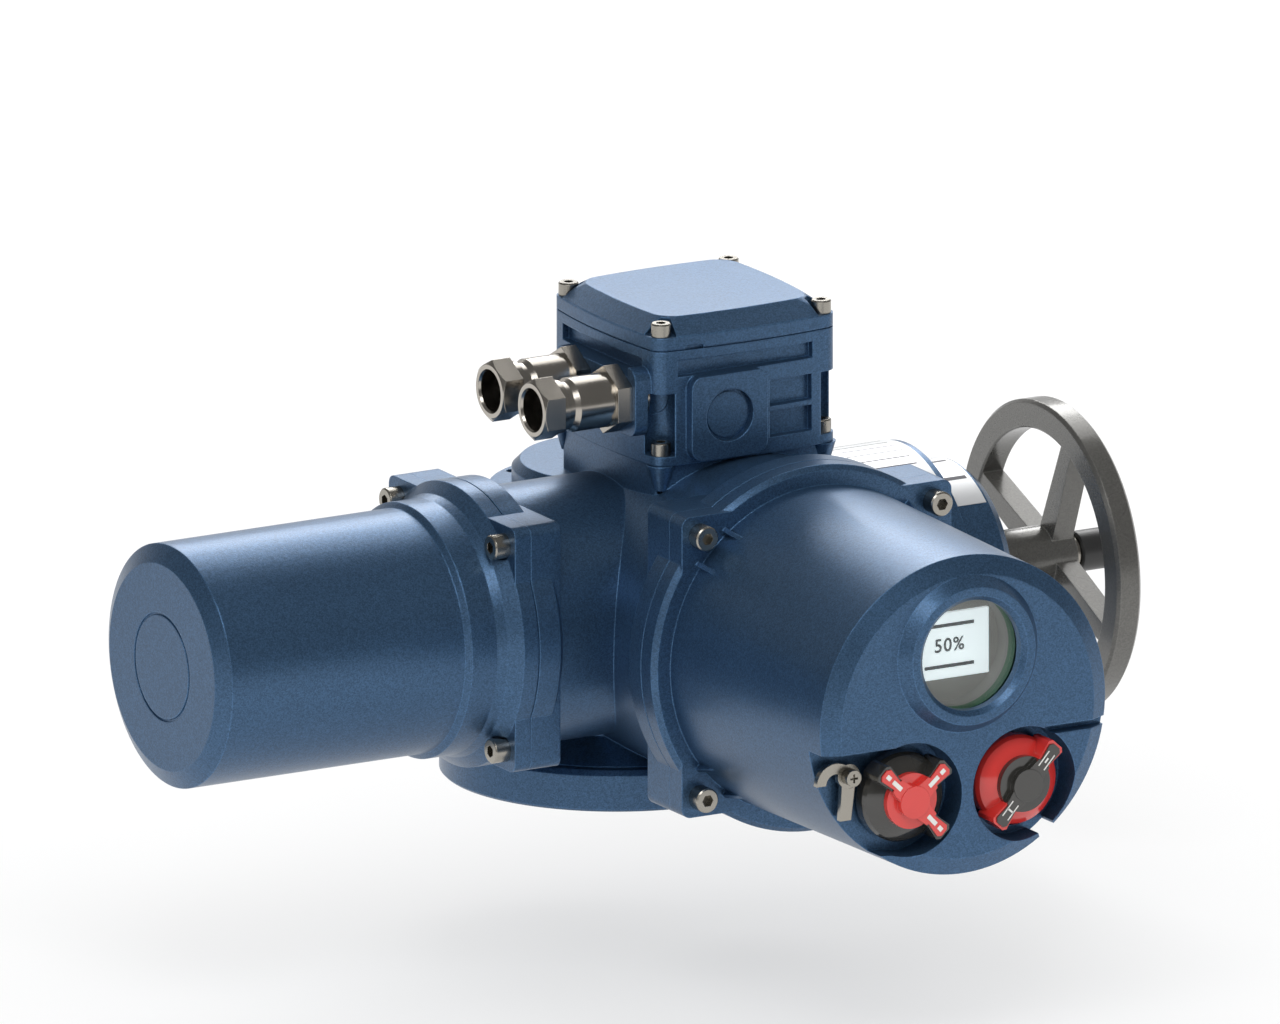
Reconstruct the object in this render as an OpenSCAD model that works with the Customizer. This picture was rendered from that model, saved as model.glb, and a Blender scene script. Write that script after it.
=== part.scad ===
// Electric valve actuator: a gearcase with a motor on its left, the control
// compartment in front, the terminal box on top and the handwheel on its right.
// Millimetres. The origin is the centre of the valve flange's face, +Z up,
// -X along the motor, -Y towards the control compartment's face.

/* [Valve flange] */
// Radius of the valve flange (210 mm across, size F16)
flange_r = 105; // [100:1:112]
// Thickness of the valve flange
flange_t = 25; // [22:1:30]
// Pitch circle of the four valve bolts
flange_pcd = 165; // [158:1:172]
// Radius of a valve bolt hole (M20)
flange_hole_r = 10; // [8:0.5:11]
// Depth of a valve bolt hole
flange_hole_depth = 20; // [15:1:21]

/* [Gearcase] */
// Radius of the central column
column_r = 76; // [74:1:79]
// Height of the column's top face over the flange face
column_h = 173; // [170:1:180]
// Radius of the skirt where the column meets the flange
skirt_r = 96; // [88:1:99]
// Distance of the worm shaft from the output axis
worm_offset = 60; // [59:0.5:62]
// Height of the worm shaft over the flange face
worm_z = 121.3; // [120:0.5:124]
// Radius of the worm housing
worm_housing_r = 78; // [74:1:82]
// Radius of the raised boss over the upper bearing
boss_r = 62; // [58:1:66]
// Height of that boss
boss_h = 17; // [12:1:22]

/* [Motor] */
// Radius of the motor cover's barrel
motor_r = 73.6; // [70:0.5:75]
// Distance of the motor cover's end face from the output axis
motor_end_x = 345.6; // [330:1:370]
// Wall of the motor cover
motor_wall = 7; // [5:0.5:9]
// Radius of the round flange between motor and gearcase
motor_flange_r = 86; // [84:0.5:90]
// Half of the square on which the motor screws sit
motor_screw_half = 62.5; // [60:0.5:65]
// Distance of the motor's parting face from the output axis
motor_joint_x = 136.3; // [132:1:142]

/* [Control compartment] */
// Offset of the compartment's axis along X
control_x = 19.3; // [17:0.5:22]
// Height of the compartment's axis
control_z = 117.2; // [114:0.5:121]
// Radius of the control cover's barrel at its flange
control_r = 100.2; // [98:0.5:102]
// Radius of the cover's edge at its face
control_face_r = 97.6; // [95:0.2:98]
// Distance of the cover's face from the output axis
control_face_y = 383.8; // [375:1:395]
// Radius of the round flange of the compartment
control_flange_r = 112; // [108:1:114]
// Distance of the compartment's parting face from the output axis
control_joint_y = 190; // [186:1:194]
// Thickness of the cover's flange
control_flange_t = 14.7; // [12:0.5:18]
// Half of the square on which the cover's screws sit
control_screw_half = 80.3; // [79:0.1:82]
// Radius of the compartment's hollow
control_bore_r = 90; // [86:1:92]

/* [Window and display] */
// Height of the window's centre
window_z = 156; // [154:0.5:158]
// Radius of the window's opening
window_r = 33.8; // [32:0.2:34.5]
// Outer radius of the window's raised ring
window_ring_r = 48; // [46:0.5:50]
// How far the ring stands proud of the face
window_ring_h = 7.8; // [5:0.2:9]
// Radius of the glass disc
glass_r = 38; // [37:0.2:40]
// Thickness of the glass disc
glass_t = 6; // [4:0.5:7]
// Width of the display panel
panel_w = 54; // [48:1:54]
// Height of the display panel
panel_h = 40; // [34:1:40]

/* [Selector knobs] */
// Distance of each knob's axis from the cover's axis
knob_dx = 38.8; // [37:0.2:41]
// Height of the knobs' axes
knob_z = 70.8; // [69:0.2:73]
// Radius of a knob's dome
knob_r = 27.5; // [25:0.5:28.5]
// Height of a knob's dome
knob_h = 20; // [18:0.5:21]
// Radius of a knob's recess
recess_r = 35; // [34:0.5:36]
// Depth of the recesses below the cover's face
recess_depth = 20.4; // [19:0.2:23]
// Radius of a knob's shaft
knob_shaft_r = 5; // [4:0.5:6]

/* [Terminal box] */
// Half width of the box, measured at the middle of a side
box_half = 66; // [64:0.5:68]
// Radius of the box's corners
box_corner_r = 9.5; // [8:0.5:12]
// Radius of the bulged sides
box_side_r = 420; // [300:20:600]
// Height of the face on which the box stands
box_base_z = 217.5; // [215:0.5:221]
// Height of the lid's parting face
lid_joint_z = 287.5; // [282:0.5:292]
// Thickness of the lid's rim
lid_rim_t = 8.5; // [7:0.5:10]
// Height of the lid's crown over its rim
lid_crown_h = 9.5; // [7:0.5:12]
// Distance of the box's and the lid's screws from the sides
screw_inset = 11.15; // [10.8:0.05:12]
// Height of the pads under the box's lower screws
box_pad_t = 5.5; // [4:0.5:8]

/* [Cable glands] */
// Height of the glands' axes
gland_z = 256; // [252:0.5:258]
// Distance between the two glands
gland_pitch = 50; // [46:0.5:54]
// Radius of the cable's way through a gland
gland_bore_r = 12.5; // [10:0.5:13]
// Width across the flats of the gland's body
gland_flats = 36; // [35:0.5:40]
// Width across the flats of the clamping nut
nut_flats = 33; // [32:0.5:36]
// Radius of the blanking plug
plug_r = 16; // [14:0.5:17]

/* [Handwheel] */
// Radius of the handwheel
wheel_r = 94.5; // [85:0.5:105]
// Radial width of the rim
rim_w = 17; // [13:0.5:20]
// Axial width of the rim
rim_t = 16.4; // [14:0.2:20]
// Distance of the rim's near face from the output axis
wheel_x = 289.6; // [284:0.5:300]
// Height of the handwheel's shaft
hand_z = 90; // [89:0.5:91]
// Number of spokes
spokes = 4; // [3:1:6]
// Radius of the hub
hub_r = 19; // [17:0.5:23]
// Radius of the hand drive's shaft
hand_shaft_r = 11; // [9:0.5:12]
// Radius of the hand drive's housing
drum_r = 82; // [79:0.5:84]
// Distance of that housing's end from the output axis
drum_end_x = 200; // [192:1:206]
// Radius of the hand drive's cover
drum_cover_r = 67.4; // [65:0.5:70]
// Thickness of the hand drive's cover
drum_cover_t = 36; // [30:1:40]
// Radius of the hand grip
grip_r = 12.3; // [10:0.2:14]
// Length of the hand grip
grip_l = 32; // [26:1:40]

/* [Fasteners and fits] */
// Radius of an M10 screw's head
head_r = 7.5; // [7:0.5:8]
// Height of an M10 screw's head
head_h = 10; // [8:0.5:11]
// Radius of an M10 screw's shank
shank_r = 5; // [4:0.5:5.5]
// Radius of an M6 screw's head
small_head_r = 6; // [5:0.5:6.5]
// Height of an M6 screw's head
small_head_h = 8; // [6:0.5:9]
// Radius of an M6 screw's shank
small_shank_r = 3; // [2.5:0.5:3.5]
// Radial clearance of a running fit
run_fit = 0.05; // [0.02:0.01:0.08]
// Clearance between parts that turn past each other
gap = 0.5; // [0.3:0.1:0.8]

/* [Hidden] */
$fn = 96;
worm_y = -worm_offset;
e = 0.01;
far = 400;
seam = 0.8;

// Levels along the output axis
sleeve_bore_r = 20;
sleeve_r = 27;
sleeve_z0 = 4;
sleeve_z1 = column_h - 4;
bearing_t = 16;
top_bearing_r = 45;
spigot_h = 6;
low_bearing_z = flange_t + spigot_h;
top_bearing_z = column_h - bearing_t - 7;
chamber_r = 54;
pinion_r = 19.5;
crown_t = 12;
crown_z = hand_z - pinion_r - gap - crown_t;
crown_r = 44;
wheel_half_t = worm_z - hand_z - pinion_r - 1;
worm_r = 14;
worm_wheel_r = worm_offset - worm_r - gap;
worm_teeth = 40;
base_screw_r = 65;

// Places along the motor's axis
motor_flange_t = 18;
motor_flange_x = motor_joint_x + motor_flange_t;
motor_case_flange_t = 20.3;
motor_lug_t = 10.7;
motor_lug_half = motor_screw_half + 12.5;
collar_x = motor_flange_x + 26;
collar_r = motor_r + 3.4;
motor_bore_r = motor_r - motor_wall;
rotor_r = 38;
stator_x0 = motor_joint_x + 40;
stator_x1 = motor_end_x - 46;
worm_shaft_r = 10;
worm_bearing_r = 22;
worm_bearing_t = 14;
rear_bearing_x = motor_end_x - motor_wall - 4 - worm_bearing_t;
worm_end_x = 74;

// Places along the control compartment's axis
face_y = -control_face_y;
joint_y = -control_joint_y;
recess_y = face_y + recess_depth;
case_control_t = 14;
control_end_y = recess_y + 8;
control_lug_half = control_screw_half + 12;
board_y = control_end_y + 22;
window_y = face_y - window_ring_h;
glass_y = face_y + 0.6;
seal_t = 8;
display_t = 18;
display_y = glass_y + glass_t + seal_t;
panel_t = 2.5;
knob_left_x = control_x - knob_dx;
knob_right_x = control_x + knob_dx;
knob_y = recess_y - gap;
shelf_half = recess_r - 1.6;
drain_w = 12;
wing_reach = knob_r + 3;
wing_w = 12;
wing_foot = 7.5;
insert_reach = knob_r + 1.5;
insert_w = 9;
insert_r = 17;
mode_arms = [136, 41, -47];
command_arms = [48, 228];
latch_x = -54.8;
latch_z = 87.5;
latch_t = 4;
latch_head_h = 6;
latch_y = recess_y - 4;

// Places of the terminal box and its glands
box_x = control_x;
box_y = worm_y;
lid_top_z = lid_joint_z + lid_rim_t;
crown_inset = 13;
notch_back = small_head_r + 3.5;
notch_spread = 17;
lid_screw_half = box_half - screw_inset;
neck_half = box_half - 3.5;
box_bore_r = box_half - 16;
slot_half = box_half - 19;
clamp_row = box_bore_r - 17;
slot_depth = 7;
slot_h = 10;
duct_z = column_h + 5;
terminal_plate_t = 4;
gland_y = box_y - 10;
gland_face_x = box_x - box_half - 7;
gland_body_r = 16.4;
gland_hex_t = 10;
gland_neck_r = 14.4;
gland_body_l = 37;
nut_l = 14;
plug_x = box_x - 16.7;
plug_face_y = box_y - box_half - 5;
plug_z = 245.9;

// Places along the handwheel's axis
hub_x0 = drum_end_x + drum_cover_t + 24;
hub_x1 = wheel_x + rim_t;
spoke_inset = 1.2;
hand_shaft_x0 = sleeve_r + 4;
pinion_t = 16;
hand_bearing_r = 26;
hand_bearing_t = 14;
hand_bearing_x = drum_end_x + drum_cover_t - 6 - hand_bearing_t;
grip_pin_r = 6;
grip_collar_r = 10;
grip_collar_l = 7;

blue = "steelblue";
steel = "silver";
dark = "dimgray";

// A cylinder along +X, -Y or +Z from a start point
module along_x(x, r, l, r2 = 0) {
    translate([x, 0, 0])
        rotate([0, 90, 0])
            cylinder(h = l, r1 = r, r2 = r2 == 0 ? r : r2);
}
module along_y(y, r, l, r2 = 0) {
    translate([0, y, 0])
        rotate([-90, 0, 0])
            cylinder(h = l, r1 = r, r2 = r2 == 0 ? r : r2);
}
module at_worm() {
    translate([0, worm_y, worm_z])
        children();
}
module at_control() {
    translate([control_x, 0, control_z])
        children();
}
module at_box(z = 0) {
    translate([box_x, box_y, z])
        children();
}
module at_hand() {
    translate([0, 0, hand_z])
        children();
}
module square_of(half) {
    for (sx = [-1, 1], sy = [-1, 1])
        translate([sx * half, sy * half, 0])
            children();
}
// Cap screw with its head on z = 0 and its shank going down
module cap_screw(r_head, h_head, r_shank, l_shank) {
    difference() {
        union() {
            cylinder(h = h_head, r = r_head);
            translate([0, 0, -l_shank])
                cylinder(h = l_shank + e, r = r_shank);
        }
        translate([0, 0, h_head * 0.45])
            cylinder(h = h_head, r = r_head * 0.5, $fn = 6);
        translate([0, 0, h_head])
            rotate_extrude()
                polygon([[r_head - 0.8, e], [r_head + e, e], [r_head + e, -0.8]]);
    }
}
// Square with round corners whose sides bulge out as wide arcs to the half width given
module bulged_square(half, r) {
    flat = half - r - 3;
    q = half - flat * flat / (2 * box_side_r);
    intersection() {
        intersection_for (a = [0, 90, 180, 270])
            rotate(a)
                translate([half - box_side_r, 0])
                    circle(r = box_side_r, $fn = 240);
        union() {
            square([2 * (q - r), 3 * half], center = true);
            square([3 * half, 2 * (q - r)], center = true);
            for (sx = [-1, 1], sy = [-1, 1])
                translate([sx * (q - r), sy * (q - r)])
                    circle(r = r, $fn = 48);
        }
    }
}
module rounded_plate(w, h, r, t) {
    linear_extrude(height = t)
        union() {
            square([w - 2 * r, h], center = true);
            square([w, h - 2 * r], center = true);
            for (sx = [-1, 1], sy = [-1, 1])
                translate([sx * (w / 2 - r), sy * (h / 2 - r)])
                    circle(r = r, $fn = 32);
        }
}

// Places of the screws
module at_motor_screws(x) {
    at_worm()
        translate([-x, 0, 0])
            rotate([0, -90, 0])
                square_of(motor_screw_half)
                    children();
}
module at_control_screws(y) {
    at_control()
        translate([0, y, 0])
            rotate([90, 0, 0])
                square_of(control_screw_half)
                    children();
}
module at_base_screws() {
    for (a = [0:90:270])
        rotate(a)
            translate([base_screw_r, 0, 0])
                children();
}
module at_cover_screws() {
    for (a = [45:90:315])
        at_hand()
            translate([drum_end_x + drum_cover_t, 0, 0])
                rotate([a, 0, 0])
                    translate([0, 0, drum_cover_r - 15])
                        rotate([0, 90, 0])
                            children();
}

module valve_flange() {
    color(blue)
        difference() {
            rotate_extrude($fn = 144)
                polygon([[0, 0], [flange_r - 1.5, 0], [flange_r, 1.5], [flange_r, flange_t - 3],
                    [flange_r - 3, flange_t], [chamber_r - run_fit, flange_t],
                    [chamber_r - run_fit, flange_t + spigot_h], [0, flange_t + spigot_h]]);
            translate([0, 0, -e])
                cylinder(h = flange_t + spigot_h + 1, r = sleeve_r + 8);
            for (a = [45:90:315])
                rotate(a)
                    translate([flange_pcd / 2, 0, -e])
                        cylinder(h = flange_hole_depth, r = flange_hole_r);
            at_base_screws()
                translate([0, 0, -e]) {
                    cylinder(h = flange_t + 1, r = shank_r);
                    cylinder(h = head_h + 2, r = head_r + 0.5);
                }
        }
}

// The outside of the gearcase: column, worm housing, control neck, box neck, hand drive drum
module gearcase_outside() {
    translate([0, 0, flange_t])
        cylinder(h = 14, r1 = skirt_r, r2 = column_r);
    translate([0, 0, flange_t])
        cylinder(h = column_h - flange_t, r = column_r);
    at_worm() {
        along_x(-motor_joint_x + motor_case_flange_t - 8, worm_housing_r, 120);
        along_x(-motor_joint_x, motor_flange_r, motor_case_flange_t - 6);
        along_x(-motor_joint_x + motor_case_flange_t - 6 - e, motor_flange_r, 6 + e, worm_housing_r);
        translate([-motor_joint_x, 0, 0])
            rotate([0, 90, 0])
                rounded_plate(2 * motor_lug_half, 2 * motor_lug_half, 6, motor_case_flange_t);
    }
    translate([0, 0, column_h - e])
        cylinder(h = boss_h - 5 + e, r = boss_r);
    translate([0, 0, column_h + boss_h - 5])
        cylinder(h = 5, r1 = boss_r, r2 = boss_r - 5);
    at_control() {
        along_y(joint_y + case_control_t - e, control_r, -joint_y - case_control_t - 40);
        along_y(joint_y, control_flange_r, case_control_t);
        control_square(joint_y, 26);
    }
    at_box(control_z)
        linear_extrude(height = box_base_z - control_z)
            bulged_square(neck_half, box_corner_r);
    at_hand()
        along_x(0, drum_r, drum_end_x);
}
// The square whose corners stand out of the compartment's round flange and hold its screws
module control_square(y, l) {
    translate([0, y, 0])
        rotate([-90, 0, 0])
            rounded_plate(2 * control_lug_half, 2 * control_lug_half, 6, l);
}

module gearcase() {
    color(blue)
        difference() {
            gearcase_outside();
            // nothing reaches into the flange or past the parting faces
            translate([0, 0, -e])
                cylinder(h = flange_t + e, r = flange_r + gap);
            translate([-motor_joint_x - 60, -far, -far])
                cube([60, 2 * far, 3 * far]);
            // chamber of the wheels, bearing seats and the sleeve's way through
            translate([0, 0, flange_t - 1])
                cylinder(h = top_bearing_z - flange_t + 1, r = chamber_r);
            translate([0, 0, top_bearing_z - e])
                cylinder(h = bearing_t + e, r = top_bearing_r);
            translate([0, 0, flange_t - 1])
                cylinder(h = sleeve_z1 + 2 - flange_t + 1, r = sleeve_r + 5);
            // worm shaft's way and its bearing seats
            at_worm() {
                along_x(-motor_joint_x - e, worm_bearing_r, motor_joint_x + worm_end_x);
                along_x(-motor_joint_x - e, motor_bore_r, 10);
            }
            // control compartment and the way for its wires up to the terminal box
            at_control()
                along_y(joint_y - e, control_bore_r, 100);
            at_box(duct_z)
                cylinder(h = box_base_z, r = box_bore_r - 4);
            // hand drive
            at_hand() {
                along_x(sleeve_r + 2, pinion_r + 3, drum_end_x);
                along_x(column_r + 14, drum_cover_r - 10 + run_fit, drum_end_x);
            }
            at_motor_screws(motor_joint_x + e)
                translate([0, 0, -24])
                    cylinder(h = 24 + 2 * e, r = shank_r);
            at_control_screws(joint_y - e)
                translate([0, 0, -24])
                    cylinder(h = 24 + 2 * e, r = shank_r);
            at_box(box_base_z + e)
                square_of(lid_screw_half)
                    translate([0, 0, -18])
                        cylinder(h = 18 + e, r = small_shank_r);
            at_base_screws()
                translate([0, 0, flange_t - e])
                    cylinder(h = 22, r = shank_r);
            // tapped holes of the top face
            for (a = [32, 122])
                rotate(a)
                    translate([column_r - 6.5, 0, column_h - 14])
                        cylinder(h = 15, r = 3.75, $fn = 32);
        }
}

module base_screws() {
    color(steel)
        at_base_screws()
            translate([0, 0, head_h + 2])
                rotate([180, 0, 0])
                    cap_screw(head_r, head_h, shank_r, flange_t + 22 - head_h - 3);
}

module drive_sleeve() {
    color(steel)
        difference() {
            union() {
                translate([0, 0, sleeve_z0])
                    cylinder(h = sleeve_z1 - sleeve_z0, r = sleeve_r);
                translate([0, 0, low_bearing_z + bearing_t])
                    cylinder(h = 5, r = sleeve_r + 5);
            }
            translate([0, 0, sleeve_z0 - 1])
                cylinder(h = column_h, r = sleeve_bore_r);
        }
}

// A rolling bearing: two rings and the row of rollers between them, as one ring
module bearing_ring(r_out, r_in, t) {
    difference() {
        cylinder(h = t, r = r_out);
        translate([0, 0, -1])
            cylinder(h = t + 2, r = r_in);
        for (z = [-e, t - 1])
            translate([0, 0, z])
                difference() {
                    cylinder(h = 1 + e, r = (r_out + 2 * r_in) / 3 + (r_out - r_in) / 4);
                    translate([0, 0, -1])
                        cylinder(h = 4, r = (r_out + 2 * r_in) / 3);
                }
    }
}

module lower_bearing() {
    color(steel)
        translate([0, 0, low_bearing_z])
            bearing_ring(chamber_r, sleeve_r + run_fit, bearing_t);
}
module upper_bearing() {
    color(steel)
        translate([0, 0, top_bearing_z])
            bearing_ring(top_bearing_r, sleeve_r + run_fit, bearing_t);
}

// One tooth gap runs on each side of every tooth, straight across the wheel
module toothed_disc(r, depth, teeth, t) {
    step = 360 / teeth;
    linear_extrude(height = t)
        polygon([for (i = [0:teeth - 1], k = [0:3])
            let (a = i * step + [0.1, 0.32, 0.68, 0.9][k] * step,
                q = k == 1 || k == 2 ? r : r - depth)
            [q * cos(a), q * sin(a)]]);
}

module worm_wheel() {
    color("peru")
        translate([0, 0, worm_z - wheel_half_t])
            difference() {
                toothed_disc(worm_wheel_r, 4, worm_teeth, 2 * wheel_half_t);
                translate([0, 0, -1])
                    cylinder(h = 60, r = sleeve_r);
            }
}

module crown_wheel() {
    color(steel)
        translate([0, 0, crown_z])
            difference() {
                toothed_disc(crown_r, 3, 36, crown_t);
                translate([0, 0, -1])
                    cylinder(h = 60, r = sleeve_r + run_fit);
            }
}

module motor_cover() {
    color(blue)
        at_worm()
            difference() {
                union() {
                    rotate([0, -90, 0])
                        rotate_extrude($fn = 144)
                            polygon([[0, motor_joint_x], [motor_flange_r - seam, motor_joint_x],
                                [motor_flange_r, motor_joint_x + seam],
                                [motor_flange_r, motor_joint_x + motor_lug_t],
                                [collar_r + 2, motor_flange_x], [collar_r, motor_flange_x + 6],
                                [collar_r, collar_x - 3], [motor_r, collar_x],
                                [motor_r, motor_end_x - 5.9], [motor_r - 11, motor_end_x],
                                [0, motor_end_x]]);
                    translate([-motor_joint_x - motor_lug_t, 0, 0])
                        rotate([0, 90, 0])
                            rounded_plate(2 * motor_lug_half, 2 * motor_lug_half, 6, motor_lug_t);
                }
                // hollow, rear bearing seat and the turned ring on the end face
                along_x(-motor_end_x + motor_wall + 20, motor_bore_r, motor_end_x);
                along_x(-rear_bearing_x - worm_bearing_t, worm_bearing_r, 60);
                translate([-motor_end_x - e, 0, 0])
                    rotate([0, 90, 0])
                        difference() {
                            cylinder(h = 1.2, r = 33);
                            translate([0, 0, -1])
                                cylinder(h = 4, r1 = 31, r2 = 32);
                        }
                translate([-motor_joint_x - motor_lug_t - e, 0, 0])
                    rotate([0, -90, 0])
                        square_of(motor_screw_half)
                            cylinder(h = 60, r = head_r + 1);
                translate([-motor_joint_x + e, 0, 0])
                    rotate([0, -90, 0])
                        square_of(motor_screw_half)
                            cylinder(h = motor_lug_t + 1, r = shank_r);
            }
}

module motor_screws() {
    color(steel)
        at_motor_screws(motor_joint_x + motor_lug_t)
            cap_screw(head_r, head_h, shank_r, motor_lug_t + 20);
}

module stator() {
    color("saddlebrown")
        at_worm()
            difference() {
                along_x(-stator_x1, motor_bore_r, stator_x1 - stator_x0);
                along_x(-stator_x1 - 1, rotor_r + gap, stator_x1 - stator_x0 + 2);
                for (a = [0:15:345], x = [-stator_x1 - 1, -stator_x0 - 11])
                    rotate([a, 0, 0])
                        translate([x, -2.5, rotor_r - 1])
                            cube([12, 5, 16]);
            }
}

module rotor() {
    color(dark)
        at_worm()
            difference() {
                along_x(-stator_x1 + 4, rotor_r, stator_x1 - stator_x0 - 8);
                along_x(-stator_x1, worm_shaft_r, stator_x1 - stator_x0);
            }
}

module worm_shaft() {
    color(steel)
        at_worm()
            difference() {
                union() {
                    along_x(-rear_bearing_x - worm_bearing_t + 1, worm_shaft_r,
                        rear_bearing_x + worm_bearing_t - 1 + worm_end_x - 2);
                    along_x(-36, worm_r, 72);
                }
                for (x = [-30:6:30])
                    translate([x, 0, 0])
                        rotate([0, 90, 0])
                            rotate_extrude()
                                polygon([[worm_r + e, -2.2], [worm_r + e, 2.2], [worm_r - 3.5, 1],
                                    [worm_r - 3.5, -1]]);
            }
}

module worm_bearings() {
    color(steel)
        at_worm()
            for (x = [-rear_bearing_x - worm_bearing_t, -motor_joint_x + 12, worm_end_x - worm_bearing_t])
                translate([x, 0, 0])
                    rotate([0, 90, 0])
                        bearing_ring(worm_bearing_r, worm_shaft_r + run_fit, worm_bearing_t);
}

// Recess of a knob: a round pocket, and for the left one a shelf open to the side
module knob_recess(x, left) {
    translate([x - control_x, face_y - e, knob_z - control_z])
        rotate([-90, 0, 0])
            cylinder(h = recess_depth + e, r = recess_r);
    if (left)
        translate([-far + x - control_x, face_y - e, knob_z - control_z - shelf_half])
            cube([far, recess_depth + e, 2 * shelf_half]);
    else {
        translate([x - control_x, face_y - e, knob_z - control_z])
            rotate([0, 60, 0])
                translate([0, 0, -drain_w / 2])
                    cube([far, recess_depth + e, drain_w]);
        translate([x - control_x + 14, face_y - e, knob_z - control_z + recess_r - 7])
            cube([far, 9, 5]);
    }
}

module control_cover() {
    color(blue)
        at_control()
            difference() {
                union() {
                    rotate([-90, 0, 0])
                        rotate_extrude($fn = 144)
                            polygon([[0, face_y], [control_face_r - 11, face_y],
                                [control_face_r, face_y + 6], [control_r, joint_y - control_flange_t],
                                [control_flange_r - 3, joint_y - control_flange_t],
                                [control_flange_r, joint_y - control_flange_t + 3],
                                [control_flange_r, joint_y - seam],
                                [control_flange_r - seam, joint_y], [0, joint_y]]);
                    control_square(joint_y - control_flange_t, control_flange_t);
                    // two thin ribs behind each screw, running along the barrel
                    for (a = [45:90:315], d = [-13, 13])
                        rotate([0, a, 0])
                            translate([control_r - 8, joint_y - control_flange_t - 44, d - 1.5])
                                rib_wedge(44, 11, 3);
                    // the raised ring round the window
                    translate([0, window_y, window_z - control_z])
                        rotate([-90, 0, 0])
                            cylinder(h = window_ring_h + e, r1 = window_ring_r - 6, r2 = window_ring_r);
                }
                // hollow behind the face
                along_y(control_end_y, control_bore_r, control_face_y);
                // window bore and the seat of the glass, seal and display
                translate([0, 0, window_z - control_z]) {
                    along_y(window_y - e, window_r + 3, 3, window_r);
                    along_y(window_y - e, window_r, 20);
                    along_y(glass_y, glass_r, control_face_y);
                }
                knob_recess(knob_left_x, true);
                knob_recess(knob_right_x, false);
                for (x = [knob_left_x, knob_right_x])
                    translate([x - control_x, 0, knob_z - control_z])
                        along_y(recess_y - 1, knob_shaft_r + run_fit, 40);
                translate([latch_x - control_x, 0, latch_z - control_z])
                    along_y(recess_y - 1, 2.5, 7);
                translate([0, joint_y, 0])
                    rotate([90, 0, 0])
                        square_of(control_screw_half)
                            translate([0, 0, -1])
                                cylinder(h = control_flange_t + 2, r = shank_r);
            }
}
module rib_wedge(l, h, t) {
    linear_extrude(height = t)
        polygon([[0, 0], [h, l], [0, l]]);
}

module control_screws() {
    color(steel)
        at_control_screws(joint_y - control_flange_t)
            cap_screw(head_r, head_h, shank_r, control_flange_t + 20);
}

// Round circuit board that fills the cover's bore, with its larger parts
module control_board() {
    color("darkgreen")
        at_control() {
            along_y(board_y, control_bore_r - 0.3, 2.4);
            for (p = [[-52, -30, 34, 26, 12], [8, -52, 40, 22, 16], [-20, 14, 30, 44, 9], [34, 6, 26, 26, 20]])
                translate([p[0], board_y + 2.4 - e, p[1]])
                    cube([p[2], p[4], p[3]]);
        }
}

module at_window(y) {
    translate([control_x, y, window_z])
        rotate([-90, 0, 0])
            children();
}
module window_glass() {
    color("lightcyan")
        at_window(glass_y)
            cylinder(h = glass_t, r = glass_r);
}
module window_seal() {
    color("green")
        at_window(glass_y + glass_t)
            difference() {
                cylinder(h = seal_t, r = glass_r);
                translate([0, 0, -1])
                    cylinder(h = seal_t + 2, r = glass_r - 3);
            }
}
module display_housing() {
    color("gray")
        at_window(display_y)
            difference() {
                cylinder(h = display_t, r = glass_r);
                translate([0, 0, -1])
                    cylinder(h = display_t - 5, r = glass_r - 3);
            }
}
module display_panel() {
    color("white")
        translate([control_x - panel_w / 2, display_y + display_t - 6 - panel_t, window_z - panel_h / 2])
            cube([panel_w, panel_t, panel_h]);
}

// The wings that a finger turns: arms round the knob's axis, flat on top
module knob_wings(angles, r, w, z0, z1) {
    for (a = angles)
        rotate(a)
            translate([0, 0, z0])
                linear_extrude(height = z1 - z0)
                    polygon([[wing_foot, -w / 2], [r * 0.6, -w * 0.36], [r - 2, -w / 2], [r, -w / 2 + 2],
                        [r, w / 2 - 2], [r - 2, w / 2], [r * 0.6, w * 0.36], [wing_foot, w / 2]]);
}
// Dome of a knob, its height along +Z, with its shaft going down
module knob_dome() {
    rotate_extrude()
        intersection() {
            translate([0, knob_h - 46])
                circle(r = 46, $fn = 240);
            polygon([[0, 0], [knob_r - 2, 0], [knob_r, 2], [knob_r, 9], [knob_r - 3, 15],
                [knob_r - 9, knob_h], [0, knob_h]]);
        }
    translate([0, 0, -16])
        cylinder(h = 17, r = knob_shaft_r);
}
module at_knob(x) {
    translate([x, knob_y, knob_z])
        rotate([90, 0, 0])
            children();
}
module insert_shape(angles) {
    translate([0, 0, knob_h - 3])
        cylinder(h = 4, r = insert_r);
    translate([0, 0, knob_h])
        cylinder(h = 5.5, r = wing_foot + 2.5);
    knob_wings(angles, insert_reach, insert_w, knob_h - 3, knob_h + 5);
    intersection() {
        knob_wings(angles, wing_reach, wing_w, knob_h - 3, knob_h + 5);
        cylinder(h = 2 * knob_h, r = insert_r);
    }
}
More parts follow.
